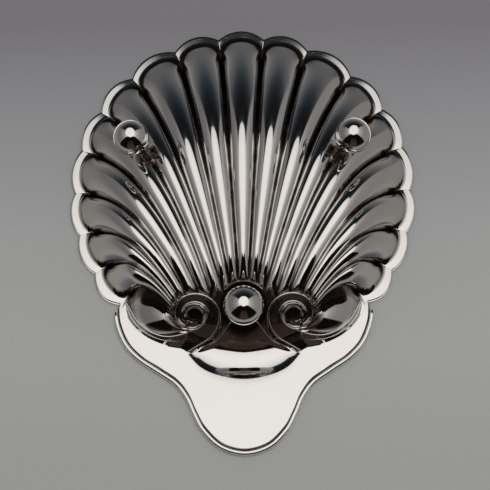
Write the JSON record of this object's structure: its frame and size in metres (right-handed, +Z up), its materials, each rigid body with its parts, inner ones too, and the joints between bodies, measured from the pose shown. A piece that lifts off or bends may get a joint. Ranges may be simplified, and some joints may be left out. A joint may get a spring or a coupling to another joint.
{
  "type": "shell dish",
  "caption": "Scallop-shell butter dish of plated sheet with a scalloped rim, scrolls at the hinge, a flat wire-edged tab and ball feet.",
  "frame": {"origin": "on the table, under the middle of the dish's bounding box", "axes": "+Z up out of the bowl, +Y towards the fan end of the shell, -Y towards the tab, X from side to side"},
  "size_m": [0.1098, 0.1396, 0.0277],
  "materials": {
    "plated_sheet": "mirror-polished silver plate over sheet brass, brown tarnish in the grooves, the recess and the scrolls",
    "plated_wire": "polished silver-plated wire with a dark solder seam along its inner side",
    "foot_ball_plate": "mirror-polished silver-plated balls, faintly scratched",
    "foot_stem_plate": "silver plate, duller and tarnished around the solder"
  },
  "bodies": {
    "root": {"shell_dish": "plated_sheet", "tab_border_wire": "plated_wire", "left_foot_ball": "foot_ball_plate", "right_foot_ball": "foot_ball_plate", "rear_foot_ball": "foot_ball_plate", "left_foot_stem": "foot_stem_plate", "right_foot_stem": "foot_stem_plate", "rear_foot_stem": "foot_stem_plate"}
  },
  "joints": []
}
